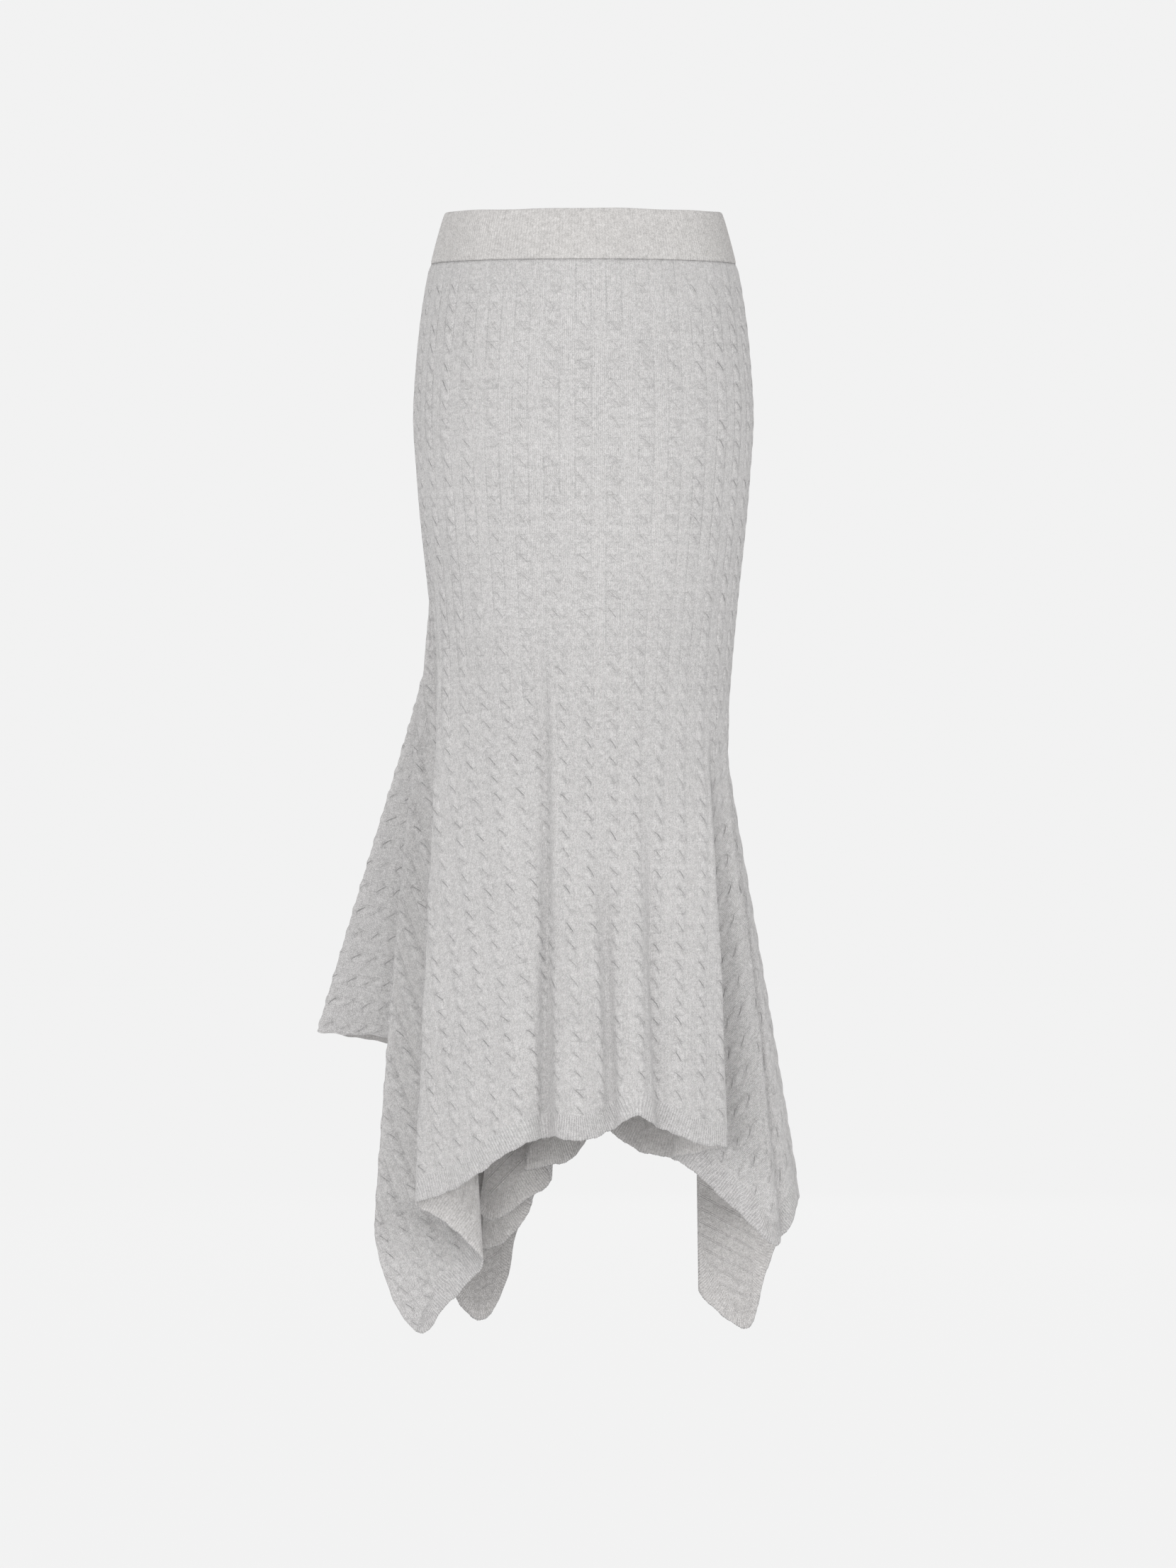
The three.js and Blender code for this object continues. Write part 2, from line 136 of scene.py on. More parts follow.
# The lines of cloth that shape the flare, in order round the skirt from the right seam past the front.
# turn: degrees round the tube where a line starts. x, y, z: where it meets the hem.
# start: the height where it starts to leave the tube. ease: under 1 leaves it quickly, over 1 slowly.
LINES = np.array([
    ("right_seam", -4, 205, 5, -950, -520, 0.9),
    ("right_side", 3, 197, -20, -975, -520, 0.9),
    ("right_corner", 10, 182, -35, -989, -520, 0.9),
    ("right_wing", 16, 148, -38, -959, -520, 1),
    ("right_wing_inner", 21, 107, -42, -921, -520, 1),
    ("right_pleat", 24, 87, -52, -906, -530, 1),
    ("right_pleat_front", 27, 105, -76, -900, -530, 0.9),
    ("front_right_edge", 31, 133, -97, -893, -530, 0.7),
    ("front_ridge_1", 47, 103, -126, -887, -540, 1),
    ("front_trough_1", 60, 76, -129, -874, -540, 1.2),
    ("front_ridge_2", 71, 50, -145, -862, -540, 1.2),
    ("front_trough_2", 82, 22, -141, -876, -540, 1.2),
    ("front_ridge_3", 92, -5, -154, -884, -540, 1.2),
    ("front_trough_3", 103, -36, -139, -881, -500, 1.1),
    ("front_ridge_4", 114, -62, -148, -891, -500, 1.1),
    ("front_left_1", 129, -95, -134, -913, -480, 1),
    ("front_left_2", 147, -127, -113, -935, -430, 0.9),
    ("front_left_edge", 162, -156, -88, -947, -380, 0.8),
    ("left_pleat_front", 169, -128, -68, -970, -400, 0.8),
    ("left_pleat", 175, -96, -48, -1006, -420, 0.9),
    ("left_corner_inner", 178, -113, -30, -1029, -420, 0.9),
    ("left_corner_mid", 181, -135, -20, -1053, -410, 0.8),
    ("left_corner", 184, -152, -14, -1076, -380, 0.75),
    ("left_corner_outer", 187, -176, -7, -1056, -370, 0.68),
    ("left_seam", 190, -197, 6, -978, -365, 0.6),
    ("left_seam_back", 193, -172, 25, -900, -355, 0.75),
    ("left_back_pleat", 196, -140, 36, -830, -360, 0.9),
    ("left_wing_inner", 200, -180, 50, -798, -345, 1),
    ("left_wing", 204, -222, 62, -794, -340, 0.95),
    ("left_wing_edge", 208, -257, 74, -791, -340, 0.92),
    ("left_wing_back", 212, -225, 91, -797, -345, 0.95),
    ("back_left_1", 216, -186, 101, -806, -390, 0.9),
    ("back_left_2", 220, -168, 107, -850, -400, 1),
    ("back_corner_fall", 223, -151, 112, -935, -400, 1),
    ("back_corner_low", 226, -136, 116, -1015, -400, 1),
    ("back_corner_end", 228, -119, 121, -1062, -400, 1),
    ("back_corner_left", 230, -97, 127, -1075, -400, 1),
    ("back_corner_rise", 233, -76, 133, -1038, -400, 1),
    ("back_corner_top", 236, -67, 137, -994, -400, 1),
    ("back_fold_1", 239, -50, 136, -952, -400, 1),
    ("back_fold_1_return", 242, -70, 118, -942, -410, 1),
    ("lobe_left", 245, -99, 103, -1004, -420, 1),
    ("lobe_mid", 247, -84, 97, -1000, -420, 1),
    ("lobe_low", 249, -66, 98, -985, -420, 1),
    ("lobe_right", 252, -51, 100, -960, -420, 1),
    ("lobe_return", 255, -68, 85, -944, -430, 1),
    ("inner_left", 258, -101, 67, -965, -440, 1),
    ("inner_mid", 261, -88, 62, -973, -440, 1),
    ("inner_low", 263, -60, 62, -956, -440, 1),
    ("inner_right", 266, -32, 65, -936, -440, 1),
    ("inner_return", 268, -42, 51, -915, -450, 1),
    ("flap_left", 271, -57, 41, -923, -450, 1),
    ("flap_mid", 274, -36, 44, -920, -450, 1),
    ("flap_low", 277, -12, 57, -913, -450, 1),
    ("flap_right", 280, 0, 74, -900, -450, 1),
    ("back_middle_left", 284, 9, 98, -886, -440, 1),
    ("back_middle", 289, 20, 118, -882, -440, 1),
    ("back_right_1", 295, 34, 124, -897, -440, 1),
    ("back_right_2", 301, 56, 123, -910, -440, 1),
    ("back_right_3", 307, 92, 120, -917, -440, 1),
    ("right_point_behind", 312, 122, 139, -938, -440, 1),
    ("right_point_return", 315, 137, 138, -975, -440, 1),
    ("right_point_inner", 318, 124, 123, -1022, -440, 1),
    ("right_point_left", 321, 113, 114, -1046, -440, 1),
    ("right_point_low", 326, 134, 118, -1068, -440, 1),
    ("right_point", 331, 160, 121, -1083, -440, 1),
    ("right_point_edge", 334, 168, 119, -1071, -440, 1),
    ("right_back_1", 338, 176, 113, -1034, -450, 1),
    ("right_back_2", 342, 188, 102, -1000, -460, 1),
    ("right_back_3", 347, 201, 78, -964, -480, 1),
    ("right_back_4", 352, 207, 42, -950, -500, 0.95),
], dtype=[("name", "U24"), ("turn", float), ("x", float), ("y", float), ("z", float),
          ("start", float), ("ease", float)])

# Stretches of the flare whose knit runs its own way. lean: degrees that the columns turn from the lines.
# centre: the line that the pattern is laid out from.
GRAINS = [
    dict(first="right_seam", last="right_corner", centre="right_side", lean=-38),
    dict(first="right_corner", last="right_pleat", centre="right_wing", lean=-50),
    dict(first="right_pleat", last="front_trough_3", centre="front_ridge_2", lean=0),
    dict(first="front_trough_3", last="left_pleat", centre="front_left_1", lean=10),
    dict(first="left_pleat", last="left_seam", centre="left_corner", lean=24),
    dict(first="left_seam", last="left_back_pleat", centre="left_seam", lean=42),
    dict(first="left_back_pleat", last="back_left_2", centre="left_wing", lean=95),
    dict(first="back_left_2", last="back_fold_1", centre="back_corner_left", lean=62),
    dict(first="back_fold_1", last="lobe_return", centre="lobe_low", lean=45),
    dict(first="lobe_return", last="inner_return", centre="inner_low", lean=38),
    dict(first="inner_return", last="back_middle_left", centre="flap_low", lean=30),
    dict(first="back_middle_left", last="right_point_return", centre="back_right_2", lean=-20),
    dict(first="right_point_return", last="right_back_2", centre="right_point", lean=-60),
    dict(first="right_back_2", last="right_seam", centre="right_back_4", lean=-55),
]

# Soft creases. turn, z: where one starts and where it ends, in degrees round the tube and height.
# width: how broad it is. rise: how far it stands out, and under 0 it is a trough.
CREASE_FIELDS = [(name, float) for name in ("turn0", "z0", "turn1", "z1", "width", "rise")]
CREASES = np.array([
    (118, -62, 104, -150, 9, -0.8),
    (66, -60, 76, -130, 8, -0.6),
    (150, -250, 128, -330, 12, -0.9),
    (160, -300, 136, -400, 12, -1.0),
    (30, -290, 52, -370, 12, -0.8),
    (22, -360, 46, -450, 12, -1.0),
    (106, -400, 103, -1150, 5.5, -8.0),
    (96, -480, 95, -1050, 9, 1.6),
    (81, -620, 82, -1100, 5, -6.5),
    (62, -590, 60, -1150, 5, -6.5),
    (71, -540, 71, -1050, 8, 1.2),
    (126, -430, 121, -740, 12, 1.6),
    (163, -370, 162, -1300, 6, 2.0),
    (172, -350, 170, -1100, 6, -6.0),
    (189, -340, 190, -1300, 4, 2.8),
    (193.5, -360, 194, -950, 4, -4.5),
    (32, -480, 31, -1250, 6, 2.0),
    (26, -470, 25, -1150, 6, -2.6),
    (9.5, -480, 10, -1350, 5, 3.6),
    (6, -500, 6.5, -1250, 4, -5.5),
    (15, -540, 15, -1250, 7, -1.6),
    (236, -70, 250, -160, 10, -0.8),
    (304, -66, 292, -150, 10, -0.8),
    (222, -280, 246, -350, 13, -1.2),
    (318, -275, 294, -352, 13, -1.2),
    (232, -330, 256, -400, 12, -1.0),
    (306, -330, 284, -405, 12, -1.0),
], dtype=CREASE_FIELDS)

# Painted shade where cloth lies close on cloth and little light comes in on the outside, laid out like the
# creases.
# rise: how much painted shade darkens the wool there.
PAINTED_FOLD_SHADE = np.array([
    (170, -345, 182, -960, 12, 0.58),
    (193, -350, 198, -900, 9, 0.7),
    (185, -948, 175, -1012, 8, 0.4),
    (29, -530, 19, -890, 8, 0.45),
    (7.6, -520, 8.6, -980, 3.5, 0.35),
    (105.5, -430, 103.3, -900, 4, 0.16),
    (81, -620, 82, -900, 4, 0.1),
], dtype=CREASE_FIELDS)

# Painted shade in the same way on the inside, where the panel in front hides and shadows the cloth.
PAINTED_INSIDE_SHADE = np.array([
    (231, -880, 231, -1120, 26, 0.42),
    (318, -939, 341, -994, 9, 0.3),
], dtype=CREASE_FIELDS)

NAMES = [str(name) for name in LINES["name"]]
COUNT = len(LINES)
LEFT_CORNER, BACK_LEFT = NAMES.index("left_corner"), NAMES.index("back_left_1")


def smoothstep(low, high, x):
    t = np.clip((x - low) / (high - low), 0.0, 1.0)
    return t * t * (3 - 2 * t)


# The form of the cloth


def tube_size(key, z):
    """A smooth curve through one column of the tube's table."""
    heights, sizes = TUBE["z"], TUBE[key]
    last = len(heights) - 1
    j = np.arange(last + 1)
    before, after = np.maximum(j - 1, 0), np.minimum(j + 1, last)
    slopes = (sizes[after] - sizes[before]) / (heights[after] - heights[before])
    i = np.clip(np.searchsorted(-heights, -z, side="right") - 1, 0, last - 1)
    span = heights[i + 1] - heights[i]
    t = np.minimum((z - heights[i]) / span, 1.0)
    s = 1 - t
    return (s * s * (1 + 2 * t) * sizes[i] + t * t * (3 - 2 * t) * sizes[i + 1]
            + s * s * t * span * slopes[i] - t * t * s * span * slopes[i + 1])


def tube_point(turn, z):
    """A point on the tube. The waist is lower in front, which fades out at the flare's top."""
    angle = np.radians(turn)
    depth = np.where(np.sin(angle) > 0, tube_size("front", z), tube_size("back", z))
    dip = WAIST_DIP * (1 + np.sin(angle)) / 2 * np.maximum(0, 1 - z / FLARE_TOP)
    return np.stack([tube_size("half", z) * np.cos(angle), -depth * np.sin(angle), z - dip + 0 * angle], -1)


# The lines' ends on the hem, and their knots for the spline, spaced by the roots of the distances.
HEM = np.stack([LINES["x"], LINES["y"], LINES["z"]], -1)
HEM_STEPS = np.sqrt(np.linalg.norm(np.roll(HEM, -1, 0) - HEM, axis=1))
KNOTS = np.concatenate([[0], np.cumsum(HEM_STEPS)])


def spline_weights(u):
    """Which four lines shape each place round the skirt, and how much each counts."""
    i = np.floor(u).astype(int)
    index = i[:, None] + np.array([-1, 0, 1, 2])
    k = KNOTS[index % COUNT] + KNOTS[-1] * (index // COUNT)
    x = k[:, 1] + (u - i) * (k[:, 2] - k[:, 1])
    unit = np.broadcast_to(np.eye(4), (len(u), 4, 4))

    def mix(a, b, low, high):
        return (a * (high - x)[:, None] + b * (x - low)[:, None]) / (high - low)[:, None]

    first = [mix(unit[:, n], unit[:, n + 1], k[:, n], k[:, n + 1]) for n in range(3)]
    second = [mix(first[n], first[n + 1], k[:, n], k[:, n + 2]) for n in range(2)]
    return index, mix(second[0], second[1], k[:, 1], k[:, 2])


def flare_points(u, v):
    """The middle of the flared cloth: u counts lines round it, v runs from 0 at its top to 1 at the hem."""
    index, weights = spline_weights(u)
    line_z = FLARE_TOP + (LINES["z"] - FLARE_TOP) * v[:, None]
    start = tube_point(np.broadcast_to(LINES["turn"], line_z.shape), line_z)
    t = np.clip((LINES["start"] - line_z) / (LINES["start"] - LINES["z"]), 0, 1)
    left = (np.hypot(t, ONSET) - ONSET) / (math.hypot(1, ONSET) - ONSET)
    shift_x = left ** LINES["ease"] * (LINES["x"] - start[..., 0])
    shift_y = left ** (LINES["ease"] * DEPTH_EASE) * (LINES["y"] - start[..., 1])
    turns = LINES["turn"][index % COUNT] + 360.0 * (index // COUNT)
    turn = (weights * turns).sum(1)

    def blend(values):
        return sum(values[:, index[:, n] % COUNT] * weights[:, n] for n in range(4))

    points = tube_point(np.broadcast_to(turn, (len(v), len(u))), blend(line_z))
    points[..., 0] += blend(shift_x)
    points[..., 1] += blend(shift_y)
    return points, turn


def normals_of(points):
    """The outward direction at each point of a grid."""
    along = np.gradient(points, axis=1)
    down = np.gradient(points, axis=0)
    normal = np.cross(along, down)
    return normal / np.maximum(np.linalg.norm(normal, axis=-1, keepdims=True), 1e-9)


def rise_of(creases, turn, z):
    """How much a list of creases adds up to at each place. Each wanders a little and fades at its ends."""
    wander, turns_of_wander = 3.0, 5
    rise = np.zeros(np.broadcast(turn, z).shape)
    for crease in creases:
        across = CREASE_DEGREE * (crease["turn1"] - crease["turn0"])
        down = crease["z1"] - crease["z0"]
        length = math.hypot(across, down)
        dx, dz = CREASE_DEGREE * (turn - crease["turn0"]), z - crease["z0"]
        t = (dx * across + dz * down) / length ** 2
        off = (dx * down - dz * across) / length
        bend = off + wander * np.sin(t * turns_of_wander + crease["z0"])
        ends = smoothstep(-0.15, 0.3, t) * (1 - smoothstep(0.6, 1.15, t))
        rise += crease["rise"] * ends * np.exp(-(bend / crease["width"]) ** 2)
    return rise


# The knit's own places: how many columns round and how many cable crossings down


def upper_knit(turn, z):
    """The knit's places on the close-fitting part."""
    columns = COLUMNS_ROUND * turn / 360.0
    return np.stack([columns + 0 * z, (FIRST_CROSSING - z) / UPPER_PITCH + 0 * turn], -1)


TOP_CROSSINGS = (FIRST_CROSSING - FLARE_TOP) / UPPER_PITCH
SEAM_CROSSING = (FIRST_CROSSING + BAND_HEIGHT) / UPPER_PITCH


def grain_knit(points, turn, v, first, last, centre, lean):
    """The knit's places in one stretch of the flare, walked down its centre line and then across."""
    lean_by, labels_to = 0.45, 0.4
    part = points[:, first:last + 1]
    down = np.gradient(part, axis=0)
    down /= np.maximum(np.linalg.norm(down, axis=-1, keepdims=True), 1e-9)
    steps = np.diff(part, axis=1)
    middle = down[:, 1:] + down[:, :-1]
    middle /= np.linalg.norm(middle, axis=-1, keepdims=True)
    along = (steps * middle).sum(-1)
    across = np.sqrt(np.maximum((steps ** 2).sum(-1) - along ** 2, 0))
    turned = np.radians(lean) * smoothstep(0.0, lean_by, v)[:, None]
    c = centre - first
    walk = np.linalg.norm(np.diff(part[:, c], axis=0), axis=-1)
    mid_turned = (turned[1:, 0] + turned[:-1, 0]) / 2
    x = COLUMNS_ROUND * turn[centre] / 360.0 * COLUMN_WIDTH
    x = x + np.concatenate([[0], np.cumsum(walk * np.sin(mid_turned))])
    y = np.concatenate([[0], np.cumsum(walk * np.cos(mid_turned))])

    def walked(step, at_centre):
        total = np.concatenate([np.zeros((len(v), 1)), np.cumsum(step, 1)], 1)
        return total - total[:, c:c + 1] + at_centre[:, None]

    flat_x = walked(np.cos(turned) * across + np.sin(turned) * along, x)
    flat_y = walked(-np.sin(turned) * across + np.cos(turned) * along, y)
    own = np.linalg.norm(np.diff(part, axis=0), axis=-1)
    own = np.concatenate([np.zeros((1, part.shape[1])), np.cumsum(own, 0)])
    labels = COLUMNS_ROUND * turn[first:last + 1] / 360.0
    mix = smoothstep(0.0, labels_to, v)[:, None]
    columns = labels * (1 - mix) + flat_x / COLUMN_WIDTH * mix
    crossings = TOP_CROSSINGS + (own * (1 - mix) + flat_y * mix) / CABLE_PITCH
    return np.stack([columns, crossings], -1)


def cable_relief(knit, points):
    """How far the outside stands out for the knit's columns and crossings. It lies flatter over the hips."""
    sides, low = smoothstep(*LOOSE_SIDE, np.abs(points[..., 0])), smoothstep(*LOOSE_LOW, -points[..., 2])
    loose = np.maximum(sides, low)
    columns, crossings = knit[..., 0], knit[..., 1]
    cell = columns - np.floor(columns)
    is_cable = np.floor(columns).astype(int) % 2 == 0
    dome = np.sin(np.pi * cell) ** 0.7
    p = crossings - np.floor(crossings)
    rope = np.abs(np.sin(np.pi * (p + (cell - 0.5) * ROPE_SLANT + 0.5))) ** 0.7 - 0.6
    swell = smoothstep(-0.5, 0.3, crossings) * (1 - smoothstep(0.25, 0.48, np.abs(cell - 0.5)))
    cable = (CABLE_RISE * dome + STRAND_RISE * rope * swell) * (0.6 + 0.4 * loose)
    return np.where(is_cable, cable, PLAIN_RISE * dome)


# Meshes


class Builder:
    """Collects points, faces, places in the knit and round the hem, and the painted shade of narrow folds,
    for a mesh.
    """

    def __init__(self):
        self.points, self.narrow, self.faces, self.count = [], [], [], 0

    def add(self, points, narrow=0.0):
        """Adds a grid or a row of points, and gives their numbers in the same shape."""
        flat = points.reshape(-1, 3)
        numbers = np.arange(self.count, self.count + len(flat)).reshape(points.shape[:-1])
        self.points.append(flat)
        self.narrow.append(np.broadcast_to(narrow, points.shape[:-1]).ravel())
        self.count += len(flat)
        return numbers

    def grid(self, numbers, knit, hem, kind, outward=True):
        """Quads over a grid. knit and hem hold each quad's four corners' places."""
        a, b = numbers[:-1, :-1], numbers[:-1, 1:]
        c, d = numbers[1:, 1:], numbers[1:, :-1]
        quads = np.stack([a, b, c, d], -1).reshape(-1, 4)
        knit, hem = knit.reshape(-1, 4, 2), hem.reshape(-1, 4, 2)
        if not outward:
            quads, knit, hem = quads[:, ::-1], knit[:, ::-1], hem[:, ::-1]
        self.faces.append((quads, knit, hem, np.full(len(quads), kind)))

    def join(self, top, bottom, kind, outward=True):
        """Joins two rows, each (numbers, keys, knit, hem), whose keys rise together."""
        i = j = 0
        triangles, knits, hems = [], [], []
        while i < len(top[0]) - 1 or j < len(bottom[0]) - 1:
            next_top = top[1][i + 1] if i < len(top[0]) - 1 else math.inf
            next_bottom = bottom[1][j + 1] if j < len(bottom[0]) - 1 else math.inf
            if next_top <= next_bottom:
                corners = [(top, i), (top, i + 1), (bottom, j)]
                i += 1
            else:
                corners = [(top, i), (bottom, j + 1), (bottom, j)]
                j += 1
            if not outward:
                corners.reverse()
            triangles.append([row[0][n] for row, n in corners])
            knits.append([row[2][n] for row, n in corners])
            hems.append([row[3][n] for row, n in corners])
        self.faces.append((np.array(triangles), np.array(knits), np.array(hems),
                           np.full(len(triangles), kind)))

    def mesh(self, name, materials):
        points = np.concatenate(self.points) * MM
        mesh = bpy.data.meshes.new(name)
        sizes = np.concatenate([np.full(len(f[0]), f[0].shape[1]) for f in self.faces])
        corners = np.concatenate([f[0].ravel() for f in self.faces])
        mesh.vertices.add(len(points))
        mesh.vertices.foreach_set("co", points.ravel())
        mesh.loops.add(len(corners))
        mesh.loops.foreach_set("vertex_index", corners.astype(np.int32))
        mesh.polygons.add(len(sizes))
        mesh.polygons.foreach_set("loop_start", (np.cumsum(sizes) - sizes).astype(np.int32))
        kinds = np.concatenate([f[3] for f in self.faces])
        mesh.polygons.foreach_set("material_index", kinds.astype(np.int32))
        for layer, place in (("knit", 1), ("hem", 2)):
            uv = mesh.uv_layers.new(name=layer)
            values = np.concatenate([f[place].reshape(-1, 2) for f in self.faces])
            uv.data.foreach_set("uv", values.ravel())
        # the painted shade of narrow folds and hidden places, which darkens the wool's colour
        narrow = mesh.attributes.new("narrow", "FLOAT", "POINT")
        narrow.data.foreach_set("value", np.concatenate(self.narrow))
        mesh.update(calc_edges=True)
        mesh.validate()
        mesh.shade_smooth()
        for material in materials:
            mesh.materials.append(material)
        obj = bpy.data.objects.new(name, mesh)
        bpy.context.scene.collection.objects.link(obj)
        return obj


def corners_of(grid):
    """The four corners' values of each quad of a grid of values."""
    return np.stack([grid[:-1, :-1], grid[:-1, 1:], grid[1:, 1:], grid[1:, :-1]], 2)


# Panels


def panel(name, first, last, cell, materials):
    """A panel between two lines: a fine outside, an inside with half the points each way, and its rims."""
    # the places round the flare, with an even number of steps between lines
    u, marks = [], {}
    for i in range(first, last):
        gap = np.linalg.norm(HEM[(i + 1) % COUNT] - HEM[i % COUNT])
        steps = 2 * max(1, round(gap / cell / 2))
        marks[i] = len(u)
        u.extend(i + np.arange(steps) / steps)
    marks[last] = len(u)
    u = np.array(u + [float(last)])
    rows = 2 * round(FLARE_LENGTH / (CELL_STRETCH * cell) / 2)
    v = np.linspace(0, 1, rows + 1)
    low_mid, low_turn = flare_points(u, v)
    low_z = low_mid[..., 2]

    # the places round the close-fitting part
    turn_a, turn_b = low_turn[0], low_turn[-1]
    top = -BAND_HEIGHT - SEAM_GAP / 2
    columns = 2 * round((turn_b - turn_a) * DEGREE_WIDTH / UPPER_CELL_WIDTH / 2)
    up_turn = np.linspace(turn_a, turn_b, columns + 1)
    up_rows = 2 * round((top - FLARE_TOP) / UPPER_CELL_HEIGHT / 2)
    up_v = np.linspace(top, FLARE_TOP, up_rows + 1)
    turns, heights = np.meshgrid(up_turn, up_v)
    up_mid = tube_point(turns, heights)

    up_normal, low_normal = normals_of(up_mid), normals_of(low_mid)
    up_mid = up_mid + up_normal * rise_of(CREASES, turns, heights)[..., None]
    low_labels = np.broadcast_to(low_turn, low_z.shape)
    low_mid = low_mid + low_normal * rise_of(CREASES, low_labels, low_z)[..., None]

    # the knit's places, walked in each stretch
    up_knit = upper_knit(turns, heights)
    low_knit = np.zeros(low_z.shape + (2,))
    quad_knit = np.zeros((rows, len(u) - 1, 4, 2))
    cut = np.full(len(u), FAR)
    for grain in GRAINS:
        a, b, c = (NAMES.index(grain[key]) for key in ("first", "last", "centre"))
        if b <= a:
            b += COUNT
        for lap in (0, COUNT):
            low, high = max(a + lap, first), min(b + lap, last)
            if low >= high:
                continue
            mid = min(max(c + lap, low), high)
            span = (marks[low], marks[high], marks[mid])
            grain_places = grain_knit(low_mid, low_turn, v, *span, grain["lean"])
            low_knit[:, span[0]:span[1] + 1] = grain_places
            quad_knit[:, span[0]:span[1]] = corners_of(grain_places)
            for end in (span[0], span[1]):
                cut = np.minimum(cut, np.abs(np.arange(len(u)) - end) * cell)

    # the hem's edge waves a little, as ribbing does
    beyond = low_mid[-1] - low_mid[-2]
    beyond /= np.linalg.norm(beyond, axis=-1, keepdims=True)
    place = np.concatenate([[0], np.cumsum(np.linalg.norm(np.diff(low_mid[-1], axis=0), axis=-1))])
    wave = sum(height * np.sin(place / length + start) for height, length, start in HEM_WAVES)
    fade = smoothstep(HEM_WAVES_FROM, 1.0, v)[:, None]
    from_seam = np.minimum(place, place[-1] - place)
    low_mid = low_mid + beyond * (fade * (wave * smoothstep(0, HEM_WAVES_FADE, from_seam)))[..., None]

    # how far each place is from the hem, and how far round it, so that ribs stand square on the hem
    step = np.linalg.norm(np.diff(low_mid, axis=0), axis=-1)
    climb = np.concatenate([np.cumsum(step[::-1], 0)[::-1], np.zeros((1, len(u)))])
    along = np.gradient(low_mid[-1], axis=0)
    reach = 6
    mean = np.ones(2 * reach + 1) / (2 * reach + 1)
    along = np.stack([np.convolve(np.pad(along[:, n], reach, mode="edge"), mean, "valid")
                      for n in range(3)], -1)
    along /= np.linalg.norm(along, axis=-1, keepdims=True)
    upward = low_mid[-1 - round(SLANT_HEIGHT / cell)] - low_mid[-1]
    upward /= np.linalg.norm(upward, axis=-1, keepdims=True)
    slant = np.clip((along * upward).sum(-1), -0.9, 0.9)
    from_hem = climb * np.sqrt(1 - slant ** 2)
    round_hem = place + climb * slant
    ribs_end = smoothstep(LEFT_CORNER, LEFT_CORNER + 0.8, u)
    ribs_start = smoothstep(BACK_LEFT, BACK_LEFT + 0.4, u)
    plain_edge = NO_RIBS * ribs_end * (1 - ribs_start)
    low_hem = np.stack([round_hem / HEM_RIB_PITCH, from_hem + plain_edge], -1)
    up_hem = np.zeros(up_knit.shape) + np.array([0.0, FAR])

    # relief: none at the seams and cuts, and thin ribs in place of cables along the hem
    side = np.minimum(np.arange(len(u)), np.arange(len(u))[::-1]) * cell
    uncut = EDGE_FADE * smoothstep(0.3, 0, v)[:, None]
    low_fade = smoothstep(0, EDGE_FADE, np.minimum(side, cut + uncut))
    band = smoothstep(*HEM_BLEND, low_hem[..., 1])
    relief = cable_relief(low_knit, low_mid) * low_fade
    low_relief = relief * band + HEM_RISE * (1 - band)
    up_side = np.minimum(np.arange(columns + 1), np.arange(columns + 1)[::-1]) * UPPER_SIDE_STEP
    up_fade = smoothstep(0, EDGE_FADE, up_side) * smoothstep(0, 7, top - heights)
    up_relief = cable_relief(up_knit, up_mid) * up_fade
    sink = -SEAM_SINK * (1 - smoothstep(0, SEAM_SINK_HEIGHT, top - heights))
    half = CLOTH_WALL / 2
    up_out = up_mid + up_normal * (half + up_relief + sink)[..., None]
    low_out = low_mid + low_normal * (half + low_relief)[..., None]
    up_in = (up_mid - up_normal * half)[::2, ::2]
    low_in = (low_mid - low_normal * half)[::2, ::2]

    # the two side edges stand back from the seams by half the gap
    for grid in (up_out, low_out, up_in, low_in):
        for edge, inner in ((0, 1), (-1, -2)):
            away = grid[:, inner] - grid[:, edge]
            away /= np.linalg.norm(away, axis=-1, keepdims=True)
            grid[:, edge] += away * SEAM_GAP / 2

    build = Builder()
    outside, inside = 0, 1
    # the outside carries painted shade in narrow folds, and the inside painted shade where the panel in
    # front hides it
    up_n = build.add(up_out[:-1], rise_of(PAINTED_FOLD_SHADE, turns, heights)[:-1])
    low_n = build.add(low_out, rise_of(PAINTED_FOLD_SHADE, low_labels, low_z))
    up_i = build.add(up_in[:-1])
    low_i = build.add(low_in, rise_of(PAINTED_INSIDE_SHADE, low_labels, low_z)[::2, ::2])
    build.grid(up_n, corners_of(up_knit[:-1]), corners_of(up_hem[:-1]), outside)
    build.grid(low_n, quad_knit, corners_of(low_hem), outside)
    build.grid(up_i, corners_of(up_knit[:-1:2, ::2]), corners_of(up_hem[:-1:2, ::2]), inside, False)
    coarse = np.stack([quad_knit[::2, ::2, 0], quad_knit[::2, 1::2, 1],
                       quad_knit[1::2, 1::2, 2], quad_knit[1::2, ::2, 3]], 2)
    build.grid(low_i, coarse, corners_of(low_hem[::2, ::2]), inside, False)

    # the close-fitting part's last row onto the flare's first, outside and inside
    build.join((up_n[-1], up_turn, up_knit[-2], up_hem[-2]),
               (low_n[0], low_turn, low_knit[0], low_hem[0]), outside)
    build.join((up_i[-1], up_turn[::2], up_knit[-3, ::2], up_hem[-3, ::2]),
               (low_i[0], low_turn[::2], low_knit[0, ::2], low_hem[0, ::2]), inside, False)

    # a toothed rim along the hem, and plain ones at the top and the sides
    fine = np.linspace(0, len(u) - 1, RIM_STEPS * (len(u) - 1) + 1)

    def finer(values):
        return np.stack([np.interp(fine, np.arange(len(u)), column) for column in values.T], -1)

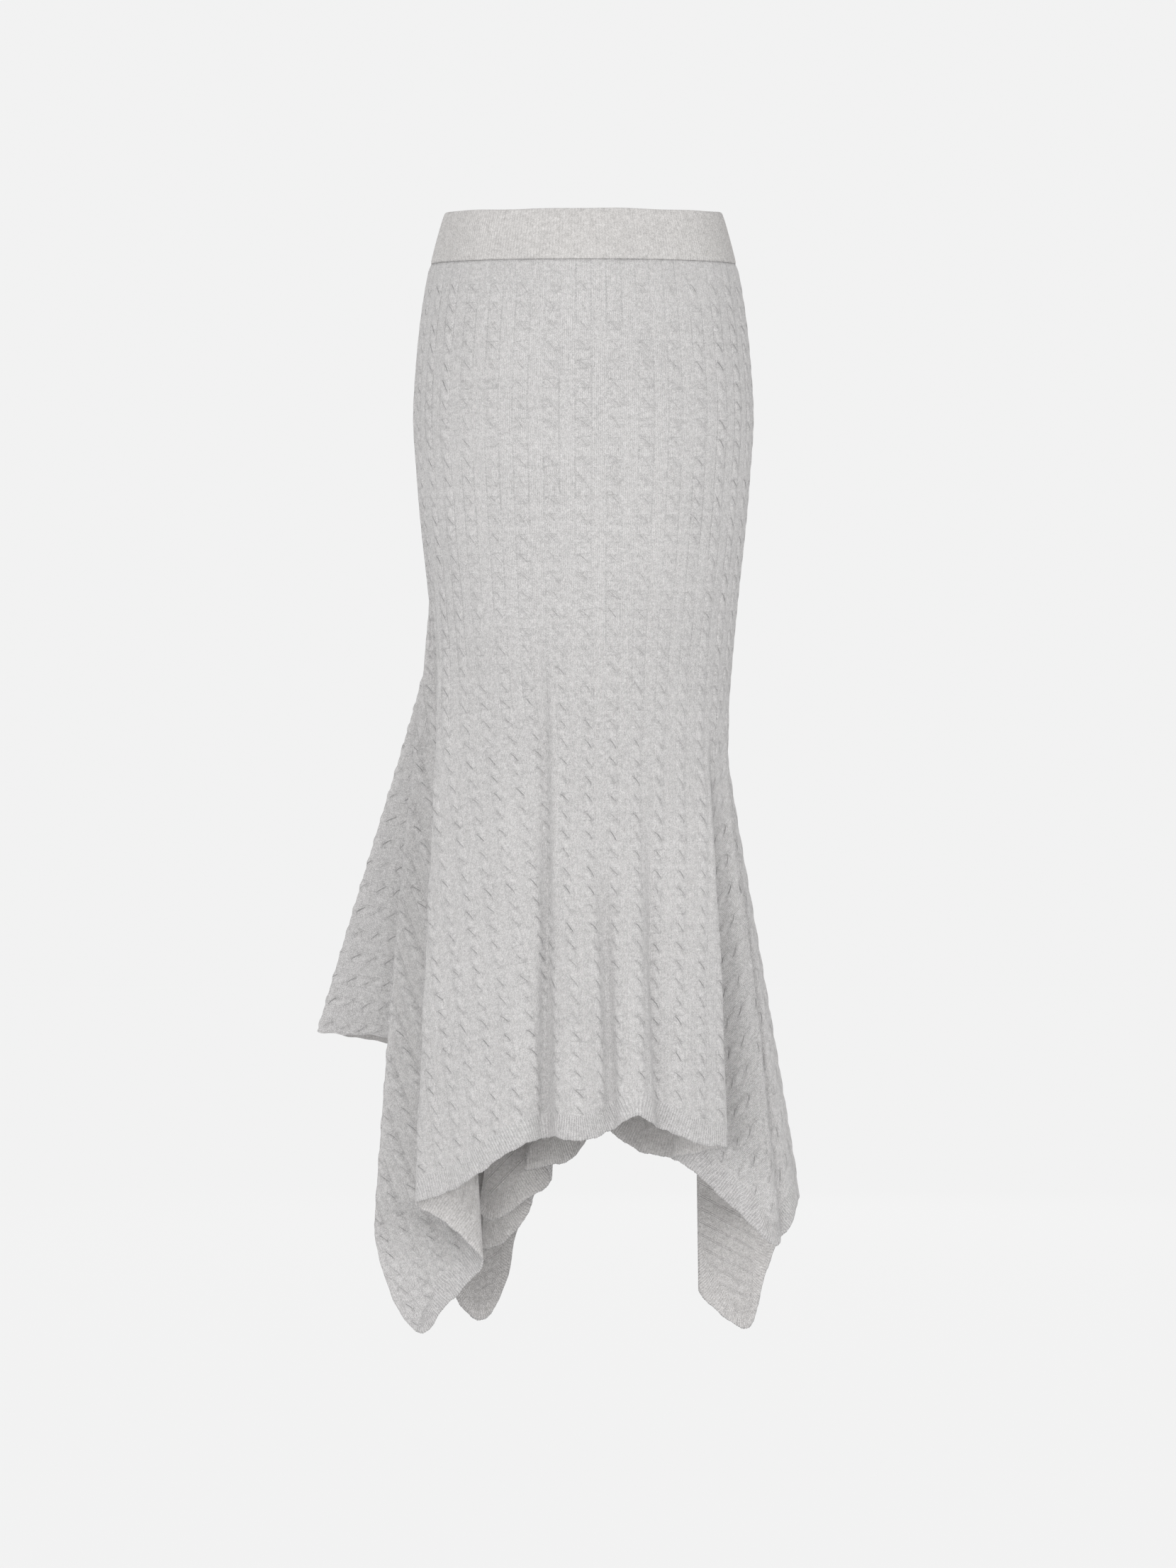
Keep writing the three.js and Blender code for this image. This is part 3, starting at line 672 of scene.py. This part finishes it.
    rim_knit, rim_hem = finer(low_knit[-1]), finer(low_hem[-1])
    rim_u = np.interp(fine, np.arange(len(u)), u)
    tooth = 0.5 + 0.5 * np.sin(2 * np.pi * rim_hem[:, 0]) + 0.4 * np.sin(2.1 * rim_hem[:, 0] + 1)
    out_by = RIM_OUT + RIM_TOOTH * tooth * (1 - finer(plain_edge[:, None])[:, 0] / NO_RIBS)
    rim = build.add(finer(low_mid[-1] + low_normal[-1] * RIM_LIFT) + finer(beyond) * out_by[:, None])
    rim_row = (rim, rim_u, rim_knit, rim_hem)
    build.join((low_n[-1], u, low_knit[-1], low_hem[-1]), rim_row, outside)
    build.join(rim_row, (low_i[-1], u[::2], low_knit[-1, ::2], low_hem[-1, ::2]), outside)
    build.join((up_i[0], up_turn[::2], up_knit[0, ::2], up_hem[0, ::2]),
               (up_n[0], up_turn, up_knit[0], up_hem[0]), outside)
    for column in (0, -1):
        out_n = np.concatenate([up_n[:, column], low_n[:, column], rim[[column]]])
        in_n = np.concatenate([up_i[:, column], low_i[:, column]])
        out_key = np.arange(len(out_n), dtype=float)
        in_key = np.concatenate([np.arange(len(up_i)) * 2.0,
                                 len(up_n) + np.arange(len(low_i)) * 2.0])
        out_knit = np.concatenate([up_knit[:-1, column], low_knit[:, column], low_knit[-1:, column]])
        in_knit = np.concatenate([up_knit[:-1:2, column], low_knit[::2, column]])
        out_hem = np.concatenate([up_hem[:-1, column], low_hem[:, column], low_hem[-1:, column]])
        in_hem = np.concatenate([up_hem[:-1:2, column], low_hem[::2, column]])
        build.join((in_n, in_key, in_knit, in_hem), (out_n, out_key, out_knit, out_hem),
                   outside, column == -1)
    return build.mesh(name, materials)


# Waistband


def waistband(name, materials):
    """A closed ring with fine upright ribs, a rounded top edge and a bottom edge drawn in at the seam."""
    per_rib, coarse = 4, 8

    def sparser(grid):
        """The inside's share of a grid of the outside."""
        part = grid[:, ::coarse]
        return np.concatenate([part[1:5], part[5::3], part[-1:]])

    columns = BAND_RIBS * per_rib
    turn = np.linspace(0, 360, columns + 1)
    depth = np.concatenate([[0.0, 0.25, 0.7, 1.4, 2.4], np.linspace(4, BAND_HEIGHT - SEAM_GAP / 2, 18)])
    turns, depths = np.meshgrid(turn, depth)
    heights = -depths
    mid = tube_point(turns, heights)
    normal = normals_of(mid)
    for grid in (normal, mid):
        grid[:, -1] = grid[:, 0]
    wave = sum(height * np.sin(np.radians(turns * number + start)) for height, number, start in BAND_WAVES)
    mid = mid + np.stack([0 * wave, 0 * wave, wave * np.exp(-depths / BAND_WAVES_DEPTH)], -1)
    mid = mid - normal * (BAND_LEAN * np.exp(-depths / BAND_LEAN_DEPTH))[..., None]
    rib = 0.5 - 0.5 * np.cos(2 * np.pi * turns * BAND_RIBS / 360)
    top_round = np.sqrt(1 - (1 - np.minimum(depths / BAND_ROUNDING, 1)) ** 2)
    bottom = smoothstep(0, BAND_SINK_HEIGHT, BAND_HEIGHT - depths)
    out = mid + normal * (BAND_WALL / 2 * top_round + BAND_RIB_RISE * rib * top_round * bottom
                          - BAND_SINK * (1 - bottom))[..., None]
    inner = sparser(mid - normal * (BAND_WALL / 2 * top_round)[..., None])
    ribs = np.stack([turns * BAND_RIBS / 360, depths / BAND_STITCH], -1)
    place = np.stack([turns, depths], -1)
    in_ribs, in_place = sparser(ribs), sparser(place)

    build = Builder()
    out_n, in_n = build.add(out[:, :-1]), build.add(inner[:, :-1])
    out_n, in_n = (np.concatenate([n, n[:, :1]], 1) for n in (out_n, in_n))
    build.grid(out_n, corners_of(ribs), corners_of(place), 0)
    build.grid(in_n, corners_of(in_ribs), corners_of(in_place), 0, False)
    build.join((in_n[0], turn[::coarse], in_ribs[0], in_place[0]), (out_n[0], turn, ribs[0], place[0]), 0)
    build.join((out_n[-1], turn, ribs[-1], place[-1]),
               (in_n[-1], turn[::coarse], in_ribs[-1], in_place[-1]), 0)
    return build.mesh(name, materials)


# Materials


class Field:
    """A number over a surface, so that a pattern is written as a formula."""

    tree = None

    def __init__(self, socket):
        self.socket = socket

    @staticmethod
    def math(operation, *values):
        node = Field.tree.nodes.new("ShaderNodeMath")
        node.operation = operation
        for i, value in enumerate(values):
            if isinstance(value, Field):
                Field.tree.links.new(value.socket, node.inputs[i])
            else:
                node.inputs[i].default_value = value
        return Field(node.outputs[0])

    def __add__(self, other):
        return Field.math("ADD", self, other)

    def __sub__(self, other):
        return Field.math("SUBTRACT", self, other)

    def __rsub__(self, other):
        return Field.math("SUBTRACT", other, self)

    def __mul__(self, other):
        return Field.math("MULTIPLY", self, other)

    __radd__, __rmul__ = __add__, __mul__

    def sine(self):
        return Field.math("SINE", self)

    def whole(self):
        return Field.math("FLOOR", self)

    def part(self):
        return Field.math("FRACT", self)

    def size(self):
        return Field.math("ABSOLUTE", self)

    def least(self, other):
        return Field.math("MINIMUM", self, other)

    def most(self, other):
        return Field.math("MAXIMUM", self, other)

    def ramp(self, low, high):
        """0 below low and 1 above high, with a soft rise between."""
        node = Field.tree.nodes.new("ShaderNodeMapRange")
        node.interpolation_type = "SMOOTHSTEP"
        Field.tree.links.new(self.socket, node.inputs["Value"])
        node.inputs["From Min"].default_value, node.inputs["From Max"].default_value = low, high
        return Field(node.outputs["Result"])

    def hump(self, width):
        """1 where this is 0, falling softly to 0 at plus and minus width."""
        return 1 - self.size().ramp(0, width)


def layer_places(layer):
    """The two numbers that a mesh's layer carries."""
    nodes, links = Field.tree.nodes, Field.tree.links
    uv = nodes.new("ShaderNodeUVMap")
    uv.uv_map = layer
    split = nodes.new("ShaderNodeSeparateXYZ")
    links.new(uv.outputs["UV"], split.inputs[0])
    return Field(split.outputs[0]), Field(split.outputs[1])


def noise(scale, detail=2.0, stretch=(1, 1, 1)):
    """Soft noise from 0 to 1 that stays with the piece, scale waves a metre."""
    nodes, links = Field.tree.nodes, Field.tree.links
    where, mapping = nodes.new("ShaderNodeTexCoord"), nodes.new("ShaderNodeMapping")
    mapping.inputs["Scale"].default_value = stretch
    texture = nodes.new("ShaderNodeTexNoise")
    texture.inputs["Scale"].default_value = scale
    texture.inputs["Detail"].default_value = detail
    links.new(where.outputs["Object"], mapping.inputs["Vector"])
    links.new(mapping.outputs["Vector"], texture.inputs["Vector"])
    return Field(texture.outputs[0])


def relaxed():
    """0 in the middle of the skirt and 1 at its sides, and 0 over the hips and 1 down the flare."""
    nodes, links = Field.tree.nodes, Field.tree.links
    where, split = nodes.new("ShaderNodeTexCoord"), nodes.new("ShaderNodeSeparateXYZ")
    links.new(where.outputs["Object"], split.inputs[0])
    across, height = Field(split.outputs[0]), Field(split.outputs[2])
    side_from, side_to = (distance * MM for distance in LOOSE_SIDE)
    low_from, low_to = (distance * MM for distance in LOOSE_LOW)
    return across.size().ramp(side_from, side_to), (height * -1).ramp(low_from, low_to)


def chance(column, row):
    """A number from 0 to 1 for each cell of a grid, always the same for the same cell."""
    nodes, links = Field.tree.nodes, Field.tree.links
    join, white = nodes.new("ShaderNodeCombineXYZ"), nodes.new("ShaderNodeTexWhiteNoise")
    white.noise_dimensions = "2D"
    links.new((column + 0.5).socket, join.inputs[0])
    links.new((row + 0.5).socket, join.inputs[1])
    links.new(join.outputs[0], white.inputs["Vector"])
    return Field(white.outputs["Value"])


TURN = 2 * math.pi

# Stitches across a column and rows of them to a cable crossing, and how softly the hem's ribs begin.
STITCHES_ACROSS = 8.0
STITCH_ROWS = 15.0
RIBS_BLEND = 1.5

# A crossing's stroke, a sunk line darkened with painted shade, in shares of a crossing down and of a column
# across: where it starts, how fast it swings from one side of its cable to the other and how far, its width,
# and how far off the strands lie.
STROKE_START = 0.28
STROKE_SPEED = 2.3
STROKE_EASE = 0.75
STROKE_SWING = 0.29
STROKE_WIDTH = 0.045
STRAND_OFFSET = 0.09

# The knit's relief in millimetres, and how much painted shade darkens or painted light lightens each part of
# it.
STITCH_RELIEF = 0.42
GROOVE_DEPTH = 0.45
STROKE_DEPTH = 0.75
ROPE_RELIEF = 0.9
HEM_RIB_RELIEF = 0.6
BAND_RIB_RELIEF = 0.42
STITCH_LIGHT = 0.36
STRAND_LIGHT = 0.3
GROOVE_SHADE = 0.5
STROKE_SHADE = 0.72
ROPE_SHADE = 0.28
HEM_RIB_SHADE = 0.18
BAND_RIB_SHADE = 0.44
SEAM_SHADE = 0.35


def stitches(columns, rows):
    """Rows of small V stitches, 0 to 1: columns and rows count stitches."""
    across = (columns.part() - 0.5).size() * 2
    vee = ((rows + across * 0.5) * TURN).sine() * 0.5 + 0.5
    return vee * 0.4 + (1 - across.ramp(0.35, 1.0)) * 0.6


def hem_ribs(round_hem, from_hem):
    """The height of the hem's ribs, and the painted shade in their grooves with a little painted light on
    their tops.
    """
    rib = (((round_hem + noise(60, 1.0) * 0.5) * TURN).sine() * 0.5 + 0.5).ramp(0.0, 0.75)
    height = rib * HEM_RIB_RELIEF + stitches(round_hem, from_hem * 0.8) * 0.15
    return height, (1 - rib) * HEM_RIB_SHADE - 0.03


def above_hem(from_hem):
    """0 on the hem's ribs and 1 above them."""
    return from_hem.ramp(HEM_BAND - RIBS_BLEND, HEM_BAND + RIBS_BLEND)


def cable_height(columns, crossings, from_hem, round_hem):
    """The right side's height and painted shade: cables between sunk, dotted grooves, and ribs along the
    hem.
    """
    cell = columns.part()
    x = cell - 0.5
    edge = cell.least(1 - cell)
    is_cable = 1 - Field.math("PINGPONG", columns.whole(), 1.0)
    row = crossings + noise(45, 1.0) * 0.3
    p = row.part()
    luck = chance(columns.whole(), row.whole())
    other = chance(row.whole(), columns.whole())
    sides, low = relaxed()
    loose = sides.most(low)

    # the stroke, darkened with painted shade, with a strand that passes over it, lightened with painted
    # light, and one that goes under
    fall = Field.math("POWER", ((p - STROKE_START) * STROKE_SPEED).most(0.0).least(1.0), STROKE_EASE)
    swing = (STROKE_SWING - fall * (2 * STROKE_SWING)) * (other * 0.5 + 0.75) + (luck - 0.5) * 0.12
    drawn = (luck * 0.9 + 0.2) * (loose * 0.75 + sides * 0.3 + 0.45 - low * (sides * 0.35 + 0.25))
    window = p.ramp(0.22, 0.34) * (1 - p.ramp(0.62, 0.78)) * is_cable * crossings.ramp(-0.02, 0.02)
    off = x - swing
    gap = off.hump(STROKE_WIDTH) * window * drawn
    over = (off + STRAND_OFFSET).hump(0.05) + (off - STRAND_OFFSET).hump(0.04) * 0.6
    over = over * window * (drawn * 0.6 + 0.4)
    under = (off - STRAND_OFFSET).hump(0.12) * window

    # the stitches, bent by the crossing, and the dotted grooves beside the column
    bent = x - swing * window * (1 - x.size().ramp(0.28, 0.48))
    stitch = stitches(bent * STITCHES_ACROSS + 0.5, crossings * STITCH_ROWS)
    dots = (crossings * STITCH_ROWS * TURN).sine() * 0.5 + 0.6
    patchy = noise(18, 1.0).ramp(0.35, 0.62) * 0.6 + 0.4
    groove = (1 - edge.ramp(0.005, 0.06)) * dots * (patchy + sides * 0.4) * (1.0 - low * 0.4)

    # the cable's round form
    rope = Field.math("POWER", ((p + x * ROPE_SLANT + 0.5) * math.pi).sine().size(), 0.6)
    swell = is_cable * crossings.ramp(-0.5, 0.3) * (loose * 0.6 + 0.4) * (1 - x.size().ramp(0.2, 0.46))
    strands = (rope - 0.6) * swell * ROPE_RELIEF + over * 0.3 - gap * STROKE_DEPTH - under * 0.25
    knit = stitch * STITCH_RELIEF - groove * GROOVE_DEPTH + strands
    # painted shade in the grooves, the strokes, under the strands and in the rope's valleys, and painted
    # light on the rope's humps, the strands beside the strokes and the stitches' tops
    sunk_painted_shade = groove * GROOVE_SHADE + gap * STROKE_SHADE + under * 0.06 + (0.66 - rope) * swell * ROPE_SHADE
    shade = sunk_painted_shade - over * STRAND_LIGHT - stitch * STITCH_LIGHT + 0.17
    ribs, painted_rib_shade = hem_ribs(round_hem, from_hem)
    above = above_hem(from_hem)
    return knit * above + ribs * (1 - above), shade * above + painted_rib_shade * (1 - above)


def wrong_height(columns, crossings, from_hem, round_hem):
    """The wrong side's height and painted shade: thin double ridges behind the grooves, between rows of
    purls.
    """
    cell = columns.part()
    edge = cell.least(1 - cell)
    wander = noise(60, 1.0) * 0.05 - 0.025
    ridge = (edge + wander - 0.075).hump(0.05)
    purl = ((columns * STITCHES_ACROSS).part() - 0.5).size() * 2
    bumps = ((crossings * STITCH_ROWS + purl.ramp(0.2, 0.9) * 0.5) * TURN).sine() * 0.5 + 0.5
    between = 1 - (edge + wander).ramp(0.0, 0.05)
    knit = ridge * 0.55 - between * 0.12 + bumps * 0.2 + purl * 0.12
    # painted shade between the ridges, and painted light on them
    shade = between * 0.06 - ridge * 0.2
    ribs, painted_rib_shade = hem_ribs(round_hem, from_hem)
    above = above_hem(from_hem)
    return knit * above + ribs * 0.6 * (1 - above), shade * above + painted_rib_shade * (1 - above)


def band_height(ribs, rows):
    """The height of the waistband's fine ribs and the painted shade in their grooves, clearer at the sides
    than in the middle.
    """
    rib = ((ribs + noise(40, 1.0) * 0.3) * TURN - math.pi / 2).sine() * 0.5 + 0.5
    sides, _ = relaxed()
    drawn = sides * 0.75 + 0.25
    height = rib * drawn * BAND_RIB_RELIEF + stitches(ribs, rows * 1.6) * 0.1
    return height, (1 - rib.ramp(0.0, 0.6)) * drawn * BAND_RIB_SHADE


# The darker and the lighter fibres of the right side, the wrong side and the band.
# the wrong side's colours are its fibres' with a warmer tint, painted warm light bounced about inside the
# skirt
FIBRES = {
    "cable": dict(dark=(0.353, 0.346, 0.345), light=(0.613, 0.602, 0.599)),
    "wrong": dict(dark=(0.385, 0.374, 0.368), light=(0.66, 0.644, 0.636)),
    "band": dict(dark=(0.365, 0.355, 0.348), light=(0.615, 0.6, 0.59)),
}
# The ramp's darkest colour as a share of the dark fibres', which only painted shade reaches.
DEEPEST_PAINTED_SHADE = 0.42


def wool(name, kind):
    """A heather wool with one of the three patterns."""
    dark, light = FIBRES[kind]["dark"], FIBRES[kind]["light"]
    material = bpy.data.materials.new(name)
    material.use_nodes = True
    Field.tree = tree = material.node_tree
    shader = tree.nodes["Principled BSDF"]
    first, second = layer_places("knit")
    around, depth = layer_places("hem")
    # the seam: a dotted line of painted shade in the gaps of its linking stitches
    if kind == "band":
        height, shade = band_height(first, second)
        seam = (depth - (BAND_HEIGHT - 0.3)).hump(0.6) * ((first * TURN).sine() * 0.4 + 0.6)
    else:
        make = cable_height if kind == "cable" else wrong_height
        height, shade = make(first, second, depth, around)
        seam = (second - SEAM_CROSSING).hump(0.03) * ((first * 12.0 * TURN).sine() * 0.4 + 0.6)

    # fibres standing off the stitches, and the soft lumps of a washed knit
    fibres = noise(1500, 2.0) * 0.3 + noise(480, 2.0) * 0.2
    height = height + fibres + noise(230, 3.0, (1, 1, 1.5)) * 1.1
    bump = tree.nodes.new("ShaderNodeBump")
    bump.inputs["Strength"].default_value = 1.0
    bump.inputs["Distance"].default_value = MM
    tree.links.new(height.socket, bump.inputs["Height"])
    tree.links.new(bump.outputs["Normal"], shader.inputs["Normal"])

    # heather: pale and dark fibres in patches of four sizes, with painted shade where stitches sink, along
    # the seam and in narrow folds, and painted light on the knit's raised parts
    # the painted shade that the mesh carries for narrow folds and hidden places
    narrow = tree.nodes.new("ShaderNodeAttribute")
    narrow.attribute_name = "narrow"
    fine = noise(1400, 2.0, (1, 1, 0.6)).ramp(0.36, 0.64)
    speck = noise(380, 2.0, (1, 1, 0.7)).ramp(0.36, 0.64)
    cloud = noise(170, 3.0, (1, 1, 1.6)).ramp(0.3, 0.7) * 0.75 + noise(14, 2.0).ramp(0.3, 0.7) * 0.25
    heather = fine * 0.54 + speck * 0.2 + cloud * 0.28
    heather_and_painted_shade = heather - shade - seam * SEAM_SHADE - Field(narrow.outputs["Fac"])
    ramp = tree.nodes.new("ShaderNodeValToRGB")
    ramp.color_ramp.elements[0].color = (*[c * DEEPEST_PAINTED_SHADE for c in dark], 1)
    ramp.color_ramp.elements[0].position = 0.0
    ramp.color_ramp.elements[1].color = (*light, 1)
    middle = ramp.color_ramp.elements.new(0.5)
    middle.color = (*dark, 1)
    tree.links.new((heather_and_painted_shade * 0.5 + 0.5).socket, ramp.inputs["Fac"])
    tree.links.new(ramp.outputs["Color"], shader.inputs["Base Color"])
    rough = noise(300, 2.0) * 0.12 + 0.84
    tree.links.new(rough.socket, shader.inputs["Roughness"])
    shader.inputs["Specular IOR Level"].default_value = 0.2
    shader.inputs["Sheen Weight"].default_value = 0.2
    shader.inputs["Sheen Roughness"].default_value = 0.5
    return material


outer_wool = wool("cable_wool", "cable")
inner_wool = wool("wrong_side_wool", "wrong")
rib_wool = wool("rib_wool", "band")


# The pieces, each in place of its solid

RIGHT_SEAM, LEFT_SEAM = NAMES.index("right_seam"), NAMES.index("left_seam")
band = waistband("knit_waistband", [rib_wool])
front = panel("knit_front_panel", RIGHT_SEAM, LEFT_SEAM, FRONT_CELL, [outer_wool, inner_wool])
back = panel("knit_back_panel", LEFT_SEAM, RIGHT_SEAM + COUNT, BACK_CELL, [outer_wool, inner_wool])
for piece, node, slot in ((band, "waistband", "rib_knit"), (front, "front_panel", "front_cable_knit"),
                          (back, "back_panel", "back_cable_knit")):
    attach(piece, "root")
    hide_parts(node)


# Stage, light and camera

PALE = 0.887
FLOOR_Z = -1.2
FLOOR_REACH = 14.0
FLOOR_BASE = 0.01
FLOOR_GLOW = 0.8785

LIGHTS = [
    dict(name="left_box", place=(-2.3, -3.3, 0.3), aim=(0, 0, -0.6), size=1.2, power=25.5),
    dict(name="right_box", place=(2.5, -3.2, 0.2), aim=(0, 0, -0.6), size=1.2, power=36),
    dict(name="low_box", place=(-0.8, -3.8, -0.9), aim=(0.05, 0, -0.9), size=0.9, power=39),
    dict(name="back_box", place=(0.4, 3.8, 0.0), aim=(0, 0, -0.6), size=1.6, power=42),
]


def stage_floor():
    """A plain pale floor that glows almost as brightly as the world behind it."""
    mesh = bpy.data.meshes.new("floor")
    near, far = -FLOOR_REACH, FLOOR_REACH
    corners = [(near, near), (far, near), (far, far), (near, far)]
    mesh.from_pydata([(x, y, FLOOR_Z) for x, y in corners], [], [(0, 1, 2, 3)])
    floor = bpy.data.objects.new("floor", mesh)
    bpy.context.scene.collection.objects.link(floor)
    material = bpy.data.materials.new("pale_floor")
    material.use_nodes = True
    shader = material.node_tree.nodes["Principled BSDF"]
    shader.inputs["Base Color"].default_value = (FLOOR_BASE, FLOOR_BASE, FLOOR_BASE, 1)
    shader.inputs["Roughness"].default_value = 1.0
    shader.inputs["Specular IOR Level"].default_value = 0.0
    shader.inputs["Emission Color"].default_value = (1, 1, 1, 1)
    shader.inputs["Emission Strength"].default_value = FLOOR_GLOW
    mesh.materials.append(material)


def area_light(name, place, aim, size, power):
    data = bpy.data.lights.new(name, "AREA")
    data.shape, data.size, data.energy = "DISK", size, power
    light = bpy.data.objects.new(name, data)
    light.location = place
    light.rotation_euler = (Vector(aim) - Vector(place)).to_track_quat("-Z", "Y").to_euler()
    bpy.context.scene.collection.objects.link(light)


stage_floor()
world = bpy.data.worlds.new("studio")
bpy.context.scene.world = world
world.use_nodes = True
world.node_tree.nodes["Background"].inputs["Color"].default_value = (PALE, PALE, PALE, 1)
world.node_tree.nodes["Background"].inputs["Strength"].default_value = 1.0
for light in LIGHTS:
    area_light(**light)
bpy.context.scene.view_settings.view_transform = "Standard"

# The camera looks level, and the picture's longer side shows FRAME_HEIGHT metres at the waist's centre.
CAMERA_DISTANCE = 6.0
FRAME_HEIGHT = 1.504
FRAME_MIDDLE_X = 0.0044
FRAME_MIDDLE_Z = -0.551
SENSOR = 36.0
camera_data = bpy.data.cameras.new("camera")
camera_data.sensor_width = SENSOR
camera_data.lens = SENSOR * CAMERA_DISTANCE / FRAME_HEIGHT
camera = bpy.data.objects.new("camera", camera_data)
camera.location = (FRAME_MIDDLE_X, -CAMERA_DISTANCE, FRAME_MIDDLE_Z)
camera.rotation_euler = (math.pi / 2, 0, 0)
bpy.context.scene.collection.objects.link(camera)
bpy.context.scene.camera = camera
